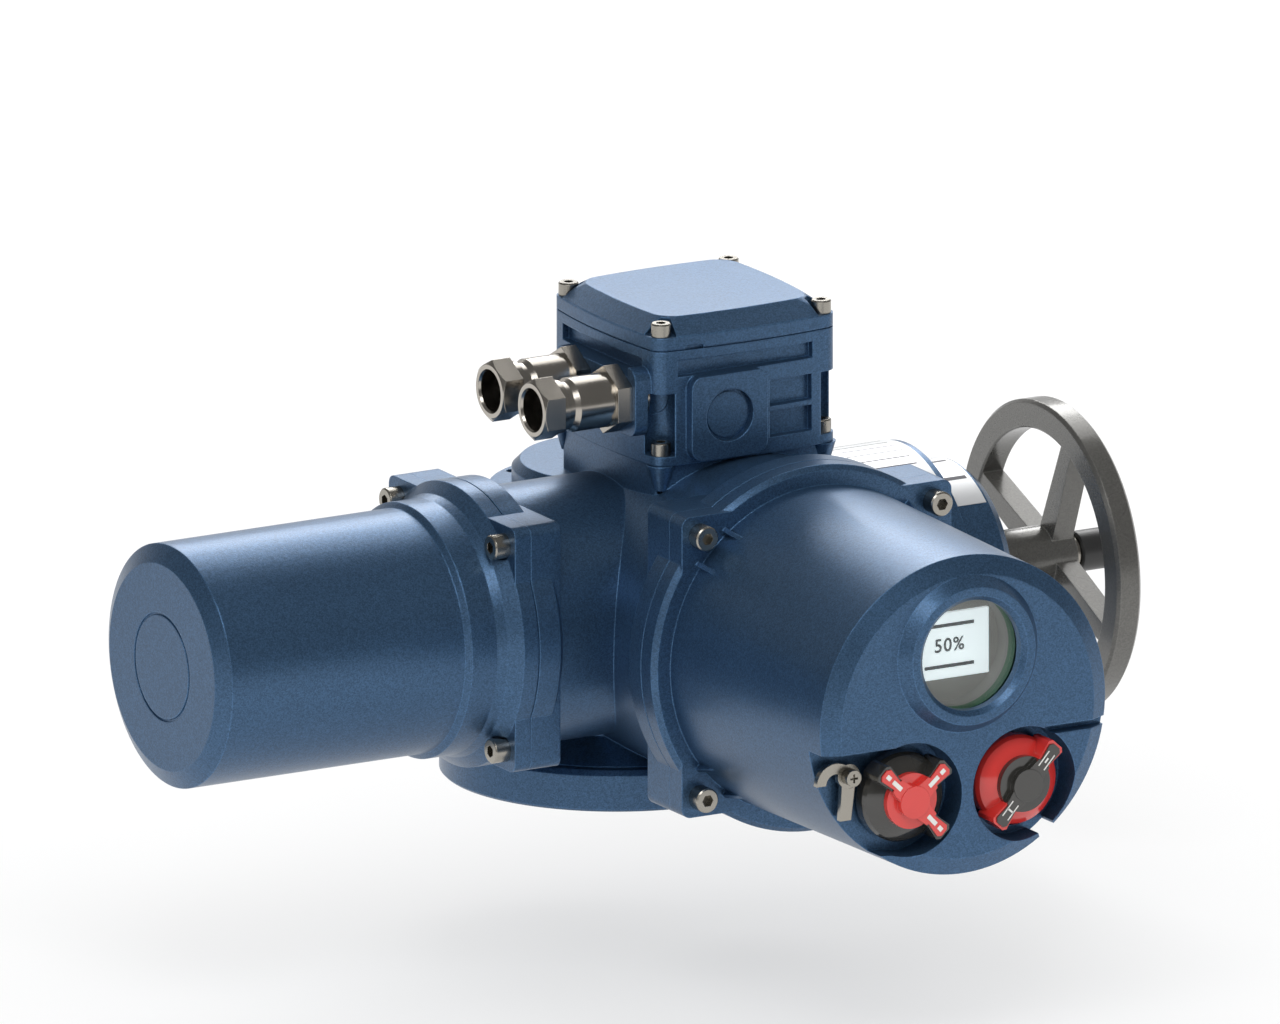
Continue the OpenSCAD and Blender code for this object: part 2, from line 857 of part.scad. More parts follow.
// Room for the insert in the knob's front
module insert_pocket(angles) {
    translate([0, 0, knob_h - 3])
        cylinder(h = knob_h, r = insert_r);
    knob_wings(angles, insert_reach, insert_w, knob_h - 3, knob_h + 5);
}
module mode_knob() {
    color("black")
        at_knob(knob_left_x)
            difference() {
                union() {
                    knob_dome();
                    knob_wings(mode_arms, wing_reach, wing_w, 6, knob_h + 4);
                }
                insert_pocket(mode_arms);
            }
}
module mode_knob_insert() {
    color("red")
        at_knob(knob_left_x)
            insert_shape(mode_arms);
}
module command_knob() {
    color("red")
        at_knob(knob_right_x)
            difference() {
                union() {
                    knob_dome();
                    knob_wings(command_arms, wing_reach, wing_w, 6, knob_h + 4);
                }
                insert_pocket(command_arms);
            }
}
module command_knob_insert() {
    color("black")
        at_knob(knob_right_x)
            insert_shape(command_arms);
}

// Stamped latch: an eye, a bar that hangs from it and a hook that opens downwards
module lock_latch() {
    color(steel)
        translate([latch_x, latch_y, latch_z])
            rotate([90, 0, 0])
                difference() {
                    linear_extrude(height = latch_t)
                        union() {
                            circle(r = 7.5);
                            polygon([[-4.5, 0], [4.5, -3], [1.5, -27], [-6, -27]]);
                            difference() {
                                translate([-9, -4])
                                    circle(r = 13);
                                translate([-9, -4])
                                    circle(r = 6.5);
                                translate([-30, -44])
                                    square([60, 40]);
                            }
                        }
                    translate([0, 0, -1])
                        cylinder(h = latch_t + 2, r = 2.5 + run_fit, $fn = 32);
                }
}
module latch_screw() {
    color(steel)
        translate([latch_x, latch_y, latch_z])
            rotate([90, 0, 0])
                difference() {
                    union() {
                        translate([0, 0, -10])
                            cylinder(h = 10 + latch_t + 0.3 + e, r = 2.5, $fn = 32);
                        translate([0, 0, latch_t + 0.3])
                            cylinder(h = latch_head_h, r = 5, $fn = 48);
                        translate([0, 0, -4])
                            cylinder(h = 3.7, r = 4.5, $fn = 48);
                    }
                    for (a = [0, 90])
                        rotate(a)
                            translate([-2.6, -0.6, latch_t + latch_head_h - 2])
                                cube([5.2, 1.2, 4]);
                }
}

module terminal_box() {
    color(blue)
        difference() {
            union() {
                at_box(box_base_z)
                    linear_extrude(height = lid_joint_z - box_base_z)
                        bulged_square(box_half, box_corner_r);
                // boss of the plugged entry
                translate([plug_x, plug_face_y, plug_z])
                    rotate([-90, 0, 0])
                        rounded_plate(52, 52, 8, 30);
                // boss of the two glands
                translate([gland_face_x, gland_y, gland_z])
                    rotate([0, 90, 0])
                        rounded_plate(42, gland_pitch + 42, 8, 30);
            }
            // hollow and the wires' way down
            at_box(box_base_z - e)
                cylinder(h = 100, r = box_bore_r - 4);
            at_box(box_base_z + 12)
                cylinder(h = 100, r = box_bore_r + 1);
            // corner columns stand free between the lid's rim and the lower pads
            at_box(box_base_z + box_pad_t)
                square_of(lid_screw_half)
                    cylinder(h = lid_joint_z - box_base_z - box_pad_t - 26, r = small_head_r + 3.5);
            // shallow cast pockets on the front and on the left side
            translate([box_x - slot_half - 1, box_y - box_half - slot_depth, lid_joint_z - 16])
                cube([2 * slot_half - 2, 2 * slot_depth, slot_h]);
            translate([box_x - box_half - slot_depth, box_y - slot_half, lid_joint_z - 16])
                cube([2 * slot_depth, 2 * slot_half, slot_h]);
            for (z = [plug_z - 19, plug_z])
                translate([plug_x + 30, box_y - box_half - slot_depth, z])
                    cube([30, 2 * slot_depth, 16]);
            // the same pockets on the two sides that face away
            for (a = [0, 90])
                at_box(lid_joint_z - 16)
                    rotate(a)
                        translate([box_half - slot_depth, -slot_half, 0])
                            cube([2 * slot_depth, 2 * slot_half, slot_h]);
            // entries
            translate([plug_x, plug_face_y, plug_z])
                along_y(-e, plug_r, 60);
            for (dy = [-0.5, 0.5])
                translate([gland_face_x, gland_y + dy * gland_pitch, gland_z])
                    along_x(-e, gland_body_r - 2, 60);
            at_box(0)
                square_of(lid_screw_half) {
                    translate([0, 0, lid_joint_z - 26])
                        cylinder(h = 27, r = small_shank_r);
                    translate([0, 0, box_base_z - 1])
                        cylinder(h = 40, r = small_shank_r);
                }
        }
}

// Round plate on the ledge of the box's bore with two rows of clamps
module terminal_block() {
    color("tan")
        at_box(box_base_z + 12)
            difference() {
                union() {
                    cylinder(h = terminal_plate_t, r = box_bore_r + 1 - 0.3);
                    for (y = [-26, 8])
                        translate([-clamp_row, y, terminal_plate_t - e])
                            cube([2 * clamp_row, 18, 22]);
                }
                for (y = [-17, 17], i = [-3:3])
                    translate([i * 9, y, terminal_plate_t + 10])
                        cylinder(h = 20, r = 3, $fn = 24);
                translate([0, 0, -1])
                    cylinder(h = 10, r = 6);
            }
}

module terminal_lid() {
    color(blue)
        difference() {
            union() {
                at_box(lid_joint_z)
                    linear_extrude(height = lid_rim_t - seam)
                        bulged_square(box_half - seam, box_corner_r - seam);
                at_box(lid_joint_z + seam)
                    linear_extrude(height = lid_rim_t - seam)
                        bulged_square(box_half, box_corner_r);
                at_box(lid_top_z - e)
                    crown();
            }
            at_box(lid_joint_z - e)
                cylinder(h = lid_rim_t, r = box_bore_r + 1);
            at_box(lid_top_z)
                for (a = [45:90:315])
                    rotate(a)
                        translate([lid_screw_half * sqrt(2), 0, 0])
                            linear_extrude(height = 40)
                                polygon([[-notch_back, -3], [-notch_back, 3], [16, 3 + notch_spread],
                                    [16, -3 - notch_spread]]);
            at_box(lid_joint_z - 1)
                square_of(lid_screw_half)
                    cylinder(h = 40, r = small_shank_r);
            // slot for a lever at the front edge of the parting face
            translate([-24, box_y - box_half - 8, lid_joint_z - e])
                cube([12, 12, 2.5]);
        }
}
// Crown of the lid: the rim's outline drawn in towards a smaller flat top
module crown() {
    hull() {
        linear_extrude(height = 0.5)
            bulged_square(box_half - 0.5, box_corner_r);
        translate([0, 0, lid_crown_h - 0.5])
            linear_extrude(height = 0.5)
                bulged_square(box_half - crown_inset, box_corner_r + 6);
    }
}
module lid_screws() {
    color(steel)
        at_box(lid_top_z)
            square_of(lid_screw_half)
                cap_screw(small_head_r, small_head_h, small_shank_r, lid_rim_t + 20);
}
module box_screws() {
    color(steel)
        at_box(box_base_z + box_pad_t)
            square_of(lid_screw_half)
                cap_screw(small_head_r, small_head_h, small_shank_r, box_pad_t + 14);
}

module at_glands() {
    for (dy = [-0.5, 0.5])
        translate([gland_face_x, gland_y + dy * gland_pitch, gland_z])
            rotate([0, -90, 0])
                children();
}
module gland_bodies() {
    color(steel)
        at_glands()
            difference() {
                union() {
                    cylinder(h = gland_hex_t, r = gland_flats / sqrt(3), $fn = 6);
                    cylinder(h = gland_body_l - 3, r = gland_body_r);
                    translate([0, 0, gland_body_l - 3 - e])
                        cylinder(h = 3, r1 = gland_body_r, r2 = gland_neck_r);
                    cylinder(h = gland_body_l + 4, r = gland_neck_r);
                    translate([0, 0, -14])
                        cylinder(h = 15, r = gland_body_r - 2);
                }
                translate([0, 0, -15])
                    cylinder(h = 80, r = gland_bore_r);
                translate([0, 0, gland_body_l - 10])
                    cylinder(h = 80, r = gland_bore_r + 0.9);
            }
}
module gland_seals() {
    color("black")
        at_glands()
            translate([0, 0, gland_body_l - 10])
                difference() {
                    cylinder(h = 9, r = gland_bore_r + 0.9);
                    translate([0, 0, -1])
                        cylinder(h = 12, r = gland_bore_r);
                }
}
module gland_nuts() {
    color(steel)
        at_glands()
            translate([0, 0, gland_body_l + 4])
                difference() {
                    union() {
                        cylinder(h = 4, r = gland_body_r - 0.4);
                        intersection() {
                            translate([0, 0, 4 - e])
                                cylinder(h = nut_l, r = nut_flats / sqrt(3), $fn = 6);
                            rotate_extrude()
                                polygon([[0, 0], [nut_flats / sqrt(3), 0], [nut_flats / sqrt(3), nut_l + 2],
                                    [nut_flats / 2 - 0.5, nut_l + 4], [0, nut_l + 4]]);
                        }
                    }
                    translate([0, 0, -1])
                        cylinder(h = 80, r = gland_bore_r);
                    translate([0, 0, nut_l + 2.5])
                        cylinder(h = 2, r1 = gland_bore_r, r2 = gland_bore_r + 1.2);
                }
}

module blanking_plug() {
    color(blue)
        translate([plug_x, plug_face_y + 3, plug_z])
            rotate([-90, 0, 0])
                difference() {
                    cylinder(h = 14, r = plug_r);
                    translate([0, 0, -e])
                        difference() {
                            cylinder(h = 1, r = plug_r + 1);
                            translate([0, 0, -1])
                                cylinder(h = 3, r = plug_r - 2);
                        }
                }
}

module hand_drive_cover() {
    x1 = drum_end_x + drum_cover_t;
    color(blue)
        at_hand()
            difference() {
                rotate([0, 90, 0])
                    rotate_extrude($fn = 120)
                        polygon([[0, drum_end_x - 8], [drum_cover_r - 10, drum_end_x - 8],
                            [drum_cover_r - 10, drum_end_x], [drum_cover_r + 4, drum_end_x],
                            [drum_cover_r, drum_end_x + 5], [drum_cover_r, x1 - 6],
                            [drum_cover_r - 5, x1], [0, x1]]);
                along_x(drum_end_x - 10, drum_cover_r - 22, drum_cover_t - 14);
                along_x(hand_bearing_x, hand_bearing_r, hand_bearing_t);
                along_x(hand_bearing_x - 30, hand_bearing_r, 40);
                along_x(x1 - 30, hand_shaft_r + 1, 40);
                for (a = [45:90:315])
                    rotate([a, 0, 0])
                        translate([0, 0, drum_cover_r - 15]) {
                            along_x(drum_end_x - 10, small_shank_r, 60);
                            along_x(x1 - small_head_h, small_head_r + 0.5, 20);
                        }
            }
}
module cover_screws() {
    color(steel)
        at_cover_screws()
            translate([0, 0, -small_head_h])
                cap_screw(small_head_r, small_head_h, small_shank_r, drum_cover_t - small_head_h + 6);
}
module hand_bearing() {
    color(steel)
        at_hand()
            translate([hand_bearing_x, 0, 0])
                rotate([0, 90, 0])
                    bearing_ring(hand_bearing_r, hand_shaft_r + run_fit, hand_bearing_t);
}
module hand_shaft() {
    color(steel)
        at_hand() {
            along_x(hand_shaft_x0, hand_shaft_r, hub_x1 - hand_shaft_x0);
            along_x(hand_bearing_x - 8, hand_shaft_r + 4, 8);
        }
}
module hand_pinion() {
    color(steel)
        at_hand()
            translate([hand_shaft_x0, 0, 0])
                rotate([0, 90, 0])
                    difference() {
                        toothed_disc(pinion_r, 2.5, 16, pinion_t);
                        translate([0, 0, -1])
                            cylinder(h = 60, r = hand_shaft_r);
                    }
}

module handwheel() {
    mid_r = wheel_r - rim_w;
    color(dark)
        at_hand()
            difference() {
                union() {
                    rotate([0, 90, 0])
                        rotate_extrude($fn = 144)
                            polygon([[mid_r + 1, wheel_x], [wheel_r - 2, wheel_x], [wheel_r, wheel_x + 2],
                                [wheel_r, wheel_x + rim_t - 2], [wheel_r - 2, wheel_x + rim_t],
                                [mid_r + 1, wheel_x + rim_t], [mid_r, wheel_x + rim_t - 1],
                                [mid_r, wheel_x + 1]]);
                    along_x(hub_x0, hub_r, hub_x1 - hub_x0);
                    for (i = [0:spokes - 1])
                        rotate([i * 360 / spokes + 22.8, 0, 0])
                            translate([0, hub_r - 3, 0])
                                spoke(mid_r - hub_r + 5);
                }
                along_x(hub_x0 - 1, hand_shaft_r, hub_x1 - hub_x0 + 2);
            }
}
// A spoke along +Y: broad at the hub and narrower at the rim
module spoke(l) {
    translate([hub_x1 - spoke_inset, 0, 0])
        rotate([0, -90, 0])
            linear_extrude(height = rim_t - 2 * spoke_inset)
                polygon([[-8, 0], [8, 0], [6, l], [-6, l]]);
}
module grip_pin() {
    color(steel)
        at_hand() {
            along_x(hub_x1, grip_collar_r, grip_collar_l);
            along_x(hub_x1 + grip_collar_l - e, grip_pin_r, grip_l - 6);
        }
}
module hand_grip() {
    x0 = hub_x1 + grip_collar_l + 0.3;
    color("black")
        at_hand()
            difference() {
                rotate([0, 90, 0])
                    rotate_extrude()
                        polygon([[0, x0], [grip_r - 1, x0], [grip_r, x0 + 1], [grip_r, x0 + grip_l - 4],
                            [grip_r - 3.5, x0 + grip_l], [0, x0 + grip_l]]);
                along_x(x0 - 1, grip_pin_r + run_fit, grip_l - 4);
            }
}

valve_flange();
gearcase();
base_screws();
drive_sleeve();
lower_bearing();
upper_bearing();
worm_wheel();
crown_wheel();
motor_cover();
motor_screws();
stator();
rotor();
worm_shaft();
worm_bearings();
control_cover();
control_screws();
control_board();
window_glass();
window_seal();
display_housing();
display_panel();
mode_knob();
mode_knob_insert();
command_knob();
command_knob_insert();
lock_latch();
latch_screw();
terminal_box();
terminal_block();
terminal_lid();
lid_screws();
box_screws();
gland_bodies();
gland_nuts();
gland_seals();
blanking_plug();
hand_drive_cover();
cover_screws();
hand_shaft();
hand_pinion();
hand_bearing();
handwheel();
grip_pin();
hand_grip();
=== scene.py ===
import bpy
import numpy as np
from mathutils import Matrix, Vector


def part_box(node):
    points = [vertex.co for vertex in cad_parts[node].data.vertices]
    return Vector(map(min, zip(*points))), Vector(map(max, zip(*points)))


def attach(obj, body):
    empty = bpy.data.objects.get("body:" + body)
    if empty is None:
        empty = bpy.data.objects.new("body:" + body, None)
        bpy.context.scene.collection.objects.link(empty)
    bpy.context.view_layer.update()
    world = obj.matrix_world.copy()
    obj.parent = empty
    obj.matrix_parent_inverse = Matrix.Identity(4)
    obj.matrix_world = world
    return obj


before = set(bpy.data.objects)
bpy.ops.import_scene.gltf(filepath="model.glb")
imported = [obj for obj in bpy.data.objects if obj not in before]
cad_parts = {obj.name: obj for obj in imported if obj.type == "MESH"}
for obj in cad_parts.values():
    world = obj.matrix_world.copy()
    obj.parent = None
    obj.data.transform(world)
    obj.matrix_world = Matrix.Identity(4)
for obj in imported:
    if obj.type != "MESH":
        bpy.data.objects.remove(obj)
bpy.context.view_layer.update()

# The camera stands 30 degrees left of the control compartment's axis and 15 degrees
# above it, and draws without perspective. Its frame is 759 mm wide.
scene = bpy.context.scene
photo_width_px, photo_px_per_m = 1280, 1685.7
centre_right, centre_up, camera_distance = 0.01424, 0.15104, 2
camera_right = Vector((0.86603, -0.5, 0.0))
camera_up = Vector((0.12941, 0.22414, 0.96593))
camera_back = camera_right.cross(camera_up)
camera = bpy.data.objects.new("camera", bpy.data.cameras.new("camera"))
camera.data.type = "ORTHO"
camera.data.ortho_scale = photo_width_px / photo_px_per_m
camera.data.clip_end = 20
camera.matrix_world = Matrix.Translation(
    camera_right * centre_right + camera_up * centre_up + camera_back * camera_distance
) @ Matrix((camera_right, camera_up, camera_back)).transposed().to_4x4()
scene.collection.objects.link(camera)
scene.camera = camera

# The studio: a pale floor a little below the flange and a white surround, of which metal
# reflects a dimmer part towards the camera's side, with a large softbox behind on the
# right and smaller ones above, in front and on the left.
scene.view_settings.view_transform = "Standard"


def add(tree, kind, inputs=None, **settings):
    """Adds one shader node. Settings are its properties; inputs are its sockets' values or links."""
    made = tree.nodes.new("ShaderNode" + kind)
    for key, value in settings.items():
        setattr(made, key, value)
    for key, value in (inputs or {}).items():
        if isinstance(value, bpy.types.NodeSocket):
            tree.links.new(value, made.inputs[key])
        else:
            made.inputs[key].default_value = value
    return made


def seen_directly(tree):
    """1 for a ray from the camera, from a reflection or through glass, and 0 for any other."""
    path = add(tree, "LightPath")
    either = add(tree, "Math", {0: path.outputs["Is Camera Ray"], 1: path.outputs["Is Glossy Ray"]},
                 operation="MAXIMUM")
    return add(tree, "Math", {0: either.outputs[0], 1: path.outputs["Is Transmission Ray"]},
               operation="MAXIMUM").outputs[0]


scene.world = scene.world or bpy.data.worlds.new("surround")
scene.world.use_nodes = True
surround = scene.world.node_tree
surround.nodes.clear()
heading = add(surround, "TexCoord").outputs["Generated"]
behind_object, brightest_side = (0.5, 0.866, 0.0), (0.45, -0.35, 0.82)
towards_back = add(surround, "VectorMath", {0: heading, 1: behind_object}, operation="DOT_PRODUCT")
backdrop_level = add(surround, "MapRange", {
    "Value": towards_back.outputs["Value"], "From Min": 0.5, "From Max": 0.85,
    "To Min": 0.16, "To Max": 0.6}, interpolation_type="SMOOTHSTEP")
towards_light = add(surround, "VectorMath", {0: heading, 1: brightest_side}, operation="DOT_PRODUCT")
light_level = add(surround, "MapRange", {
    "Value": towards_light.outputs["Value"], "From Min": -0.5, "From Max": 1.0,
    "To Min": 0.38, "To Max": 0.86})
path = add(surround, "LightPath")
reflected = add(surround, "Mix", {"Factor": path.outputs["Is Glossy Ray"], "A": light_level.outputs[0],
                                  "B": backdrop_level.outputs[0]})
open_view = add(surround, "Math", {0: path.outputs["Is Camera Ray"],
                                   1: path.outputs["Is Transmission Ray"]}, operation="MAXIMUM")
level = add(surround, "Mix", {"Factor": open_view.outputs[0], "A": reflected.outputs[0], "B": 1.0})
backdrop = add(surround, "Background", {"Color": (1, 1, 1, 1), "Strength": level.outputs[0]})
surround.links.new(backdrop.outputs[0], add(surround, "OutputWorld").inputs[0])

floor_z, floor_half = -0.095, 9
floor_mesh = bpy.data.meshes.new("floor")
floor_mesh.from_pydata([(-floor_half, -floor_half, floor_z), (floor_half, -floor_half, floor_z),
                        (floor_half, floor_half, floor_z), (-floor_half, floor_half, floor_z)],
                       [], [(0, 1, 2, 3)])
floor = bpy.data.objects.new("floor", floor_mesh)
scene.collection.objects.link(floor)
floor_finish = bpy.data.materials.new("floor_finish")
floor_finish.use_nodes = True
tree = floor_finish.node_tree
tree.nodes.clear()
pale = add(tree, "BsdfDiffuse", {"Color": (0.9, 0.9, 0.9, 1)})
white = add(tree, "Emission", {"Color": (1, 1, 1, 1), "Strength": 1.0})
glow = 0.55
share = add(tree, "MapRange", {"Value": seen_directly(tree), "To Min": 0.0, "To Max": glow})
blended = add(tree, "MixShader", {0: share.outputs[0], 1: pale.outputs[0], 2: white.outputs[0]})
tree.links.new(blended.outputs[0], add(tree, "OutputMaterial").inputs[0])
floor_mesh.materials.append(floor_finish)

for lamp_name, place, aim, width, height, watts in (
        ("softbox_back", (1.3, 2.2, 1.65), (0, -0.1, 0.15), 2.4, 0.8, 32),
        ("softbox_above", (1.1, 1.05, 1.9), (0, -0.1, 0.1), 1.2, 1.0, 8),
        ("softbox_front", (-0.80, -1.35, 1.75), (0.02, -0.35, 0.1), 1.3, 0.8, 15),
        ("softbox_left", (-2.0, -1.2, 1.1), (0, -0.1, 0.1), 1.2, 1.2, 3)):
    lamp = bpy.data.objects.new(lamp_name, bpy.data.lights.new(lamp_name, "AREA"))
    lamp.data.shape = "RECTANGLE"
    lamp.data.size = width
    lamp.data.size_y = height
    lamp.data.energy = watts
    lamp.location = place
    lamp.rotation_euler = (Vector(aim) - Vector(place)).to_track_quat("-Z", "Y").to_euler()
    scene.collection.objects.link(lamp)


# The castings: valve flange, gearcase, covers and terminal box are cast aluminium, blasted
# and sprayed with a blue enamel that holds fine metal flakes, then stoved.
def group(name, inputs, outputs):
    """Empty shader node group with its named inputs (name, type, value) and outputs (name, type)."""
    made = bpy.data.node_groups.new(name, "ShaderNodeTree")
    for label, kind, value in inputs:
        socket = made.interface.new_socket(label, in_out="INPUT", socket_type="NodeSocket" + kind)
        socket.default_value = value
    for label, kind in outputs:
        made.interface.new_socket(label, in_out="OUTPUT", socket_type="NodeSocket" + kind)
    return made, made.nodes.new("NodeGroupInput"), made.nodes.new("NodeGroupOutput")


def feed(tree, target, **sources):
    """Links a group's results to the outputs that they are named for."""
    for label, source in sources.items():
        tree.links.new(source, target.inputs[label])


def surface(name, group_tree, values, links=None, **sockets):
    """Material of one Principled shader. A group feeds the sockets that links names."""
    made = bpy.data.materials.new(name)
    made.use_nodes = True
    tree = made.node_tree
    shader = tree.nodes["Principled BSDF"]
    for key, value in sockets.items():
        shader.inputs[key.replace("_", " ")].default_value = value
    effect = tree.nodes.new("ShaderNodeGroup")
    effect.node_tree = group_tree
    for key, value in values.items():
        effect.inputs[key].default_value = value
    links = links or {"Color": "Base Color", "Roughness": "Roughness", "Normal": "Normal"}
    for out, into in links.items():
        tree.links.new(effect.outputs[out], shader.inputs[into])
    return made


def dress(finish, *nodes):
    """Gives CAD nodes their finish."""
    for name in nodes:
        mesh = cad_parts[name].data
        mesh.materials.clear()
        mesh.materials.append(finish)


sprayed, given, made_out = group("sprayed_casting", [
    ("Color", "Color", (0.05, 0.13, 0.28, 1)), ("Flake", "Float", 0.5), ("Grain", "Float", 0.5),
    ("Gloss", "Float", 0.35)], [("Color", "Color"), ("Roughness", "Float"), ("Normal", "Vector")])
where = add(sprayed, "TexCoord").outputs["Object"]
flakes = add(sprayed, "TexVoronoi", {"Vector": where, "Scale": 1400.0})
flake_tone = add(sprayed, "SeparateColor", {"Color": flakes.outputs["Color"]})
flake_level = add(sprayed, "MapRange", {"Value": flake_tone.outputs[0], "To Min": 0.72, "To Max": 1.32})
cloud = add(sprayed, "TexNoise", {"Vector": where, "Scale": 9.0, "Detail": 3.0})
cloud_level = add(sprayed, "MapRange", {"Value": cloud.outputs["Fac"], "From Min": 0.3, "From Max": 0.7,
                                        "To Min": 0.93, "To Max": 1.07})
level = add(sprayed, "Math", {0: flake_level.outputs[0], 1: cloud_level.outputs[0]},
            operation="MULTIPLY")
flaked = add(sprayed, "VectorMath", {0: given.outputs["Color"], "Scale": level.outputs[0]},
             operation="SCALE")
mixed = add(sprayed, "Mix", {"Factor": given.outputs["Flake"], "A": given.outputs["Color"],
                             "B": flaked.outputs[0]}, data_type="RGBA")
soft_edge = add(sprayed, "Bevel", {"Radius": 0.0012}, samples=4)
face = add(sprayed, "NewGeometry").outputs["Normal"]
rounding = add(sprayed, "VectorMath", {0: soft_edge.outputs[0], 1: face}, operation="DOT_PRODUCT")
# Painted highlight: near edges, where the rounded normal leans away from the face's, the colour is lifted
# up to 1.9 times lighter. This stands in for the light that rounded edges catch; it also lightens concave
# seams.
painted_edge_highlight = add(sprayed, "MapRange", {"Value": rounding.outputs["Value"], "From Min": 0.99,
                                      "From Max": 0.85, "To Min": 1.0, "To Max": 1.9})
edge_highlighted_color = add(sprayed, "VectorMath", {0: mixed.outputs["Result"], "Scale": painted_edge_highlight.outputs[0]},
            operation="SCALE")
gloss_step = add(sprayed, "MapRange", {"Value": cloud.outputs["Fac"], "To Min": -0.05, "To Max": 0.05})
gloss = add(sprayed, "Math", {0: given.outputs["Gloss"], 1: gloss_step.outputs[0]}, operation="ADD")
peel = add(sprayed, "TexNoise", {"Vector": where, "Scale": 420.0, "Detail": 2.0})
grit = add(sprayed, "TexNoise", {"Vector": where, "Scale": 1500.0, "Detail": 1.0})
relief = add(sprayed, "Math", {0: peel.outputs["Fac"], 1: grit.outputs["Fac"]}, operation="ADD")
bump = add(sprayed, "Bump", {"Strength": given.outputs["Grain"], "Distance": 0.0002,
                             "Height": relief.outputs[0], "Normal": soft_edge.outputs[0]})
feed(sprayed, made_out, Color=edge_highlighted_color.outputs[0], Roughness=gloss.outputs[0], Normal=bump.outputs[0])

blue = (0.049, 0.108, 0.202, 1)
enamel = surface("blue_enamel", sprayed, {"Color": blue, "Flake": 0.9, "Grain": 0.42, "Gloss": 0.36},
                 Metallic=0.72, Coat_Weight=0.14, Coat_Roughness=0.2)
dress(enamel, "valve_flange", "gearcase", "motor_cover", "control_cover", "terminal_box",
      "terminal_lid", "blanking_plug", "hand_drive_cover")

# Screws, latch and grip pin are stainless steel, turned or stamped and left bright, with
# faint tool marks and a little uneven shine from handling.
turned, given, made_out = group("turned_metal", [
    ("Color", "Color", (0.6, 0.6, 0.6, 1)), ("Roughness", "Float", 0.3), ("Marks", "Float", 0.4)],
    [("Color", "Color"), ("Roughness", "Float"), ("Normal", "Vector")])
where = add(turned, "TexCoord").outputs["Object"]
smear = add(turned, "TexNoise", {"Vector": where, "Scale": 45.0, "Detail": 2.0})
fine = add(turned, "TexNoise", {"Vector": where, "Scale": 2400.0, "Detail": 1.0})
tone = add(turned, "MapRange", {"Value": smear.outputs["Fac"], "To Min": 0.93, "To Max": 1.07})
toned = add(turned, "VectorMath", {0: given.outputs["Color"], "Scale": tone.outputs[0]},
            operation="SCALE")
step = add(turned, "MapRange", {"Value": smear.outputs["Fac"], "To Min": -0.06, "To Max": 0.06})
rough = add(turned, "Math", {0: given.outputs["Roughness"], 1: step.outputs[0]}, operation="ADD")
soft_edge = add(turned, "Bevel", {"Radius": 0.0005}, samples=4)
bump = add(turned, "Bump", {"Strength": given.outputs["Marks"], "Distance": 0.00001,
                            "Height": fine.outputs["Fac"], "Normal": soft_edge.outputs[0]})
feed(turned, made_out, Color=toned.outputs[0], Roughness=rough.outputs[0], Normal=bump.outputs[0])
stainless = surface("stainless", turned, {"Color": (0.37, 0.35, 0.31, 1), "Roughness": 0.26},
                    Metallic=1.0)
dress(stainless, "base_screws", "motor_screws", "control_screws", "lid_screws", "box_screws",
      "cover_screws", "latch_screw", "lock_latch", "grip_pin")

# Inside the castings run the sleeve, worm, rotor, shafts, bearings and gears, of ground
# steel, and a machined bronze wheel. Only the end of the hand drive's shaft shows outside.
ground_steel = surface("ground_steel", turned, {"Color": (0.5, 0.5, 0.51, 1), "Roughness": 0.25},
                       Metallic=1.0)
bronze = surface("bronze", turned, {"Color": (0.55, 0.32, 0.13, 1), "Roughness": 0.33}, Metallic=1.0)
dress(ground_steel, "drive_sleeve", "lower_bearing", "upper_bearing", "crown_wheel", "rotor",
      "worm_shaft", "worm_bearings", "hand_shaft", "hand_pinion", "hand_bearing")
dress(bronze, "worm_wheel")

# The cable glands: nickel-plated brass bodies and nuts, turned from hexagon bar and screwed
# into the two entries on the left of the terminal box.
nickel = surface("nickel", turned, {"Color": (0.46, 0.43, 0.385, 1), "Roughness": 0.22}, Metallic=1.0)
dress(nickel, "gland_bodies", "gland_nuts")

# Moulded or pressed pieces: the rubber rings in the glands, the window's seal, the display's
# surround, the circuit board and the clamps. The stator is wound with varnished copper.
moulded, given, made_out = group("moulded_skin", [
    ("Color", "Color", (0.5, 0.5, 0.5, 1)), ("Roughness", "Float", 0.3), ("Texture", "Float", 0.3)],
    [("Color", "Color"), ("Roughness", "Float"), ("Normal", "Vector")])
where = add(moulded, "TexCoord").outputs["Object"]
broad = add(moulded, "TexNoise", {"Vector": where, "Scale": 60.0, "Detail": 3.0})
pores = add(moulded, "TexNoise", {"Vector": where, "Scale": 700.0, "Detail": 2.0})
tone = add(moulded, "MapRange", {"Value": broad.outputs["Fac"], "To Min": 0.92, "To Max": 1.08})
toned = add(moulded, "VectorMath", {0: given.outputs["Color"], "Scale": tone.outputs[0]},
            operation="SCALE")
step = add(moulded, "MapRange", {"Value": pores.outputs["Fac"], "To Min": -0.05, "To Max": 0.07})
rough = add(moulded, "Math", {0: given.outputs["Roughness"], 1: step.outputs[0]}, operation="ADD")
soft_edge = add(moulded, "Bevel", {"Radius": 0.0006}, samples=4)
bump = add(moulded, "Bump", {"Strength": given.outputs["Texture"], "Distance": 0.0001,
                             "Height": pores.outputs["Fac"], "Normal": soft_edge.outputs[0]})
feed(moulded, made_out, Color=toned.outputs[0], Roughness=rough.outputs[0], Normal=bump.outputs[0])
rubber = surface("rubber", moulded, {"Color": (0.14, 0.135, 0.13, 1), "Roughness": 0.5, "Texture": 0.4})
dress(rubber, "gland_seals")
seal = surface("green_seal", moulded, {"Color": (0.02, 0.12, 0.045, 1), "Roughness": 0.4, "Texture": 0.2})
dress(seal, "window_seal")
housing_grey = surface("display_grey", moulded, {"Color": (0.30, 0.28, 0.26, 1), "Roughness": 0.5})
dress(housing_grey, "display_housing")
